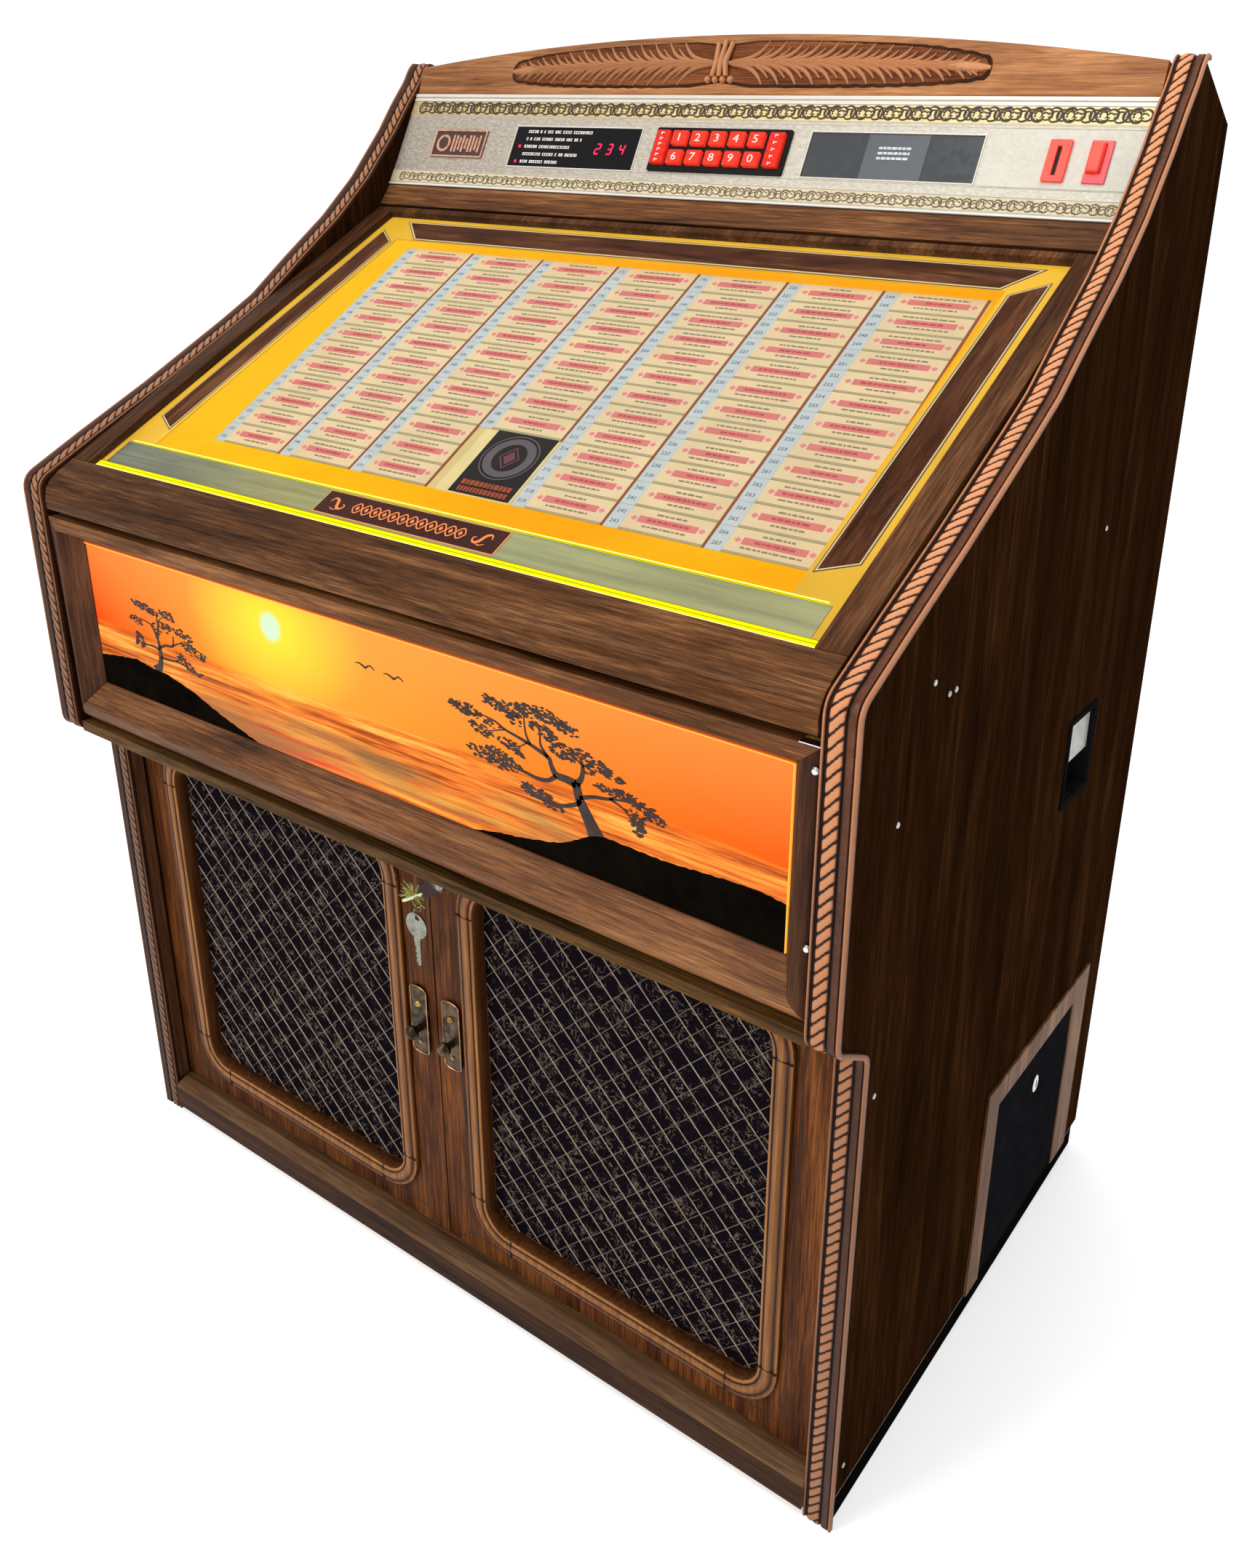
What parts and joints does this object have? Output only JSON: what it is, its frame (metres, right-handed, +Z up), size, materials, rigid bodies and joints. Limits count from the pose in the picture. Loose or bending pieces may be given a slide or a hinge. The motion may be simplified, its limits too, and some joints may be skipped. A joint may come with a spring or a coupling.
{
  "type": "console jukebox",
  "caption": "Wooden floor-standing jukebox with a sloping lift-up title lid, keypad fascia, lit picture panel, hinged speaker doors and record mechanism inside.",
  "frame": {"origin": "centre of the base of the bounding box, on the floor", "axes": "+Z up, the front with the doors and picture faces -Y, +X to the right seen from the front"},
  "size_m": [1.015, 0.6903, 1.3116],
  "materials": {
    "dark_laminate": "dark woodgrain laminate, satin",
    "walnut": "walnut grain, satin",
    "oak": "stained oak, satin",
    "trim": "moulded copper-brown plastic",
    "fascia": "brushed, warm silver",
    "black": "black",
    "red": "red moulded plastic",
    "glass": "printed glass",
    "paper": "printed strips",
    "picture": "backlit acrylic print",
    "cloth": "woven speaker cloth",
    "bronze": "antique bronze",
    "steel": "satin steel",
    "alloy": "cast and sheet alloy, grey",
    "white": "white enamel",
    "vinyl": "record vinyl",
    "black_metal": "black paint"
  },
  "bodies": {
    "cabinet": {"side_panel_left": "dark_laminate", "side_panel_right": "dark_laminate", "edge_trim_left": "trim", "edge_trim_right": "trim", "back_panel": "dark_laminate", "top_board": "dark_laminate", "base_plinth": "black_metal", "base_rail": "oak", "soffit_board": "walnut", "crest_board": "oak", "control_fascia": "fascia", "display_window": "black", "info_window": "black", "keypad_bezel": "black", "coin_slot_plate": "red", "coin_acceptor": "alloy", "rear_rail": "walnut", "picture_frame": "walnut", "picture_panel": "picture", "lightbox_tray": "white", "picture_lamp": "white", "speaker_baffle": "dark_laminate", "speaker_left": "cloth", "speaker_right": "cloth", "mechanism_deck": "alloy", "amplifier": "alloy", "mains_inlet": "black", "cash_door_frame": "walnut", "cash_box": "steel", "coin_return_cup": "black_metal"},
    "lid": {"lid_frame": "walnut", "lid_front_rail": "walnut", "lid_glass": "glass", "title_board": "paper"},
    "stay": {"lid_stay_arm": "steel"},
    "left_door": {"door_left": "oak", "grille_left": "cloth", "pull_left": "bronze"},
    "right_door": {"door_right": "oak", "grille_right": "cloth", "pull_right": "bronze"},
    "lock": {"lock_key": "steel"},
    "magazine": {"record_magazine": "vinyl"},
    "platter": {"turntable": "vinyl"},
    "pickup_arm": {"tonearm": "steel"},
    "cash_flap_door": {"cash_door": "black_metal"},
    "return_flap": {"coin_return_flap": "steel"},
    "reject": {"coin_reject_button": "red"},
    "b_key_1": {"key_1": "red"},
    "b_key_2": {"key_2": "red"},
    "b_key_3": {"key_3": "red"},
    "b_key_4": {"key_4": "red"},
    "b_key_5": {"key_5": "red"},
    "b_key_6": {"key_6": "red"},
    "b_key_7": {"key_7": "red"},
    "b_key_8": {"key_8": "red"},
    "b_key_9": {"key_9": "red"},
    "b_key_0": {"key_0": "red"},
    "b_key_cancel": {"key_cancel": "red"},
    "b_key_reset": {"key_reset": "red"}
  },
  "joints": [
    {"name": "lid_hinge", "type": "hinge", "parent": "cabinet", "child": "lid", "pos_m": [0, 0.1366, 1.115], "axis": [-1, 0, 0], "range_deg": [0, 50]},
    {"name": "stay_pivot", "type": "hinge", "parent": "cabinet", "child": "stay", "pos_m": [0.4555, -0.00401, 0.96583], "axis": [-1, 0, 0], "range_deg": [0, 100]},
    {"name": "left_door_hinge", "type": "hinge", "parent": "cabinet", "child": "left_door", "pos_m": [-0.4735, -0.273, 0.303], "axis": [0, 0, -1], "range_deg": [0, 90]},
    {"name": "right_door_hinge", "type": "hinge", "parent": "cabinet", "child": "right_door", "pos_m": [0.4735, -0.273, 0.303], "axis": [0, 0, 1], "range_deg": [0, 90]},
    {"name": "lock_turn", "type": "hinge", "parent": "right_door", "child": "lock", "pos_m": [0.0145, -0.274, 0.505], "axis": [0, -1, 0], "range_deg": [0, 90]},
    {"name": "magazine_turn", "type": "hinge", "parent": "cabinet", "child": "magazine", "pos_m": [-0.14, 0.045, 0.6], "axis": [0, 0, 1], "continuous": true},
    {"name": "turntable_spin", "type": "hinge", "parent": "cabinet", "child": "platter", "pos_m": [0.3, 0.07, 0.69], "axis": [0, -1, 0], "continuous": true},
    {"name": "tonearm_swing", "type": "hinge", "parent": "cabinet", "child": "pickup_arm", "pos_m": [0.41, 0.115, 0.72], "axis": [0, 1, 0], "range_deg": [0, 35]},
    {"name": "cash_door_hinge", "type": "hinge", "parent": "cabinet", "child": "cash_flap_door", "pos_m": [0.5055, 0.13705, 0.0355], "axis": [0, 1, 0], "range_deg": [0, 90]},
    {"name": "return_flap_hinge", "type": "hinge", "parent": "cabinet", "child": "return_flap", "pos_m": [0.5003, 0.1425, 0.671], "axis": [0, 1, 0], "range_deg": [0, 55]},
    {"name": "reject_press", "type": "slide", "parent": "cabinet", "child": "reject", "axis": [0, 0.888, -0.4598], "range_m": [0, 0.0035], "stiffness_N_per_m": 250, "springref_m": -0.0015},
    {"name": "key_1_press", "type": "slide", "parent": "cabinet", "child": "b_key_1", "axis": [0, 0.888, -0.4598], "range_m": [0, 0.003], "stiffness_N_per_m": 250, "springref_m": -0.0015},
    {"name": "key_2_press", "type": "slide", "parent": "cabinet", "child": "b_key_2", "axis": [0, 0.888, -0.4598], "range_m": [0, 0.003], "stiffness_N_per_m": 250, "springref_m": -0.0015},
    {"name": "key_3_press", "type": "slide", "parent": "cabinet", "child": "b_key_3", "axis": [0, 0.888, -0.4598], "range_m": [0, 0.003], "stiffness_N_per_m": 250, "springref_m": -0.0015},
    {"name": "key_4_press", "type": "slide", "parent": "cabinet", "child": "b_key_4", "axis": [0, 0.888, -0.4598], "range_m": [0, 0.003], "stiffness_N_per_m": 250, "springref_m": -0.0015},
    {"name": "key_5_press", "type": "slide", "parent": "cabinet", "child": "b_key_5", "axis": [0, 0.888, -0.4598], "range_m": [0, 0.003], "stiffness_N_per_m": 250, "springref_m": -0.0015},
    {"name": "key_6_press", "type": "slide", "parent": "cabinet", "child": "b_key_6", "axis": [0, 0.888, -0.4598], "range_m": [0, 0.003], "stiffness_N_per_m": 250, "springref_m": -0.0015},
    {"name": "key_7_press", "type": "slide", "parent": "cabinet", "child": "b_key_7", "axis": [0, 0.888, -0.4598], "range_m": [0, 0.003], "stiffness_N_per_m": 250, "springref_m": -0.0015},
    {"name": "key_8_press", "type": "slide", "parent": "cabinet", "child": "b_key_8", "axis": [0, 0.888, -0.4598], "range_m": [0, 0.003], "stiffness_N_per_m": 250, "springref_m": -0.0015},
    {"name": "key_9_press", "type": "slide", "parent": "cabinet", "child": "b_key_9", "axis": [0, 0.888, -0.4598], "range_m": [0, 0.003], "stiffness_N_per_m": 250, "springref_m": -0.0015},
    {"name": "key_0_press", "type": "slide", "parent": "cabinet", "child": "b_key_0", "axis": [0, 0.888, -0.4598], "range_m": [0, 0.003], "stiffness_N_per_m": 250, "springref_m": -0.0015},
    {"name": "key_cancel_press", "type": "slide", "parent": "cabinet", "child": "b_key_cancel", "axis": [0, 0.888, -0.4598], "range_m": [0, 0.003], "stiffness_N_per_m": 250, "springref_m": -0.0015},
    {"name": "key_reset_press", "type": "slide", "parent": "cabinet", "child": "b_key_reset", "axis": [0, 0.888, -0.4598], "range_m": [0, 0.003], "stiffness_N_per_m": 250, "springref_m": -0.0015}
  ],
  "couplings": [
    {"joint": "stay_pivot", "follows": "lid_hinge", "ratio": 2}
  ]
}
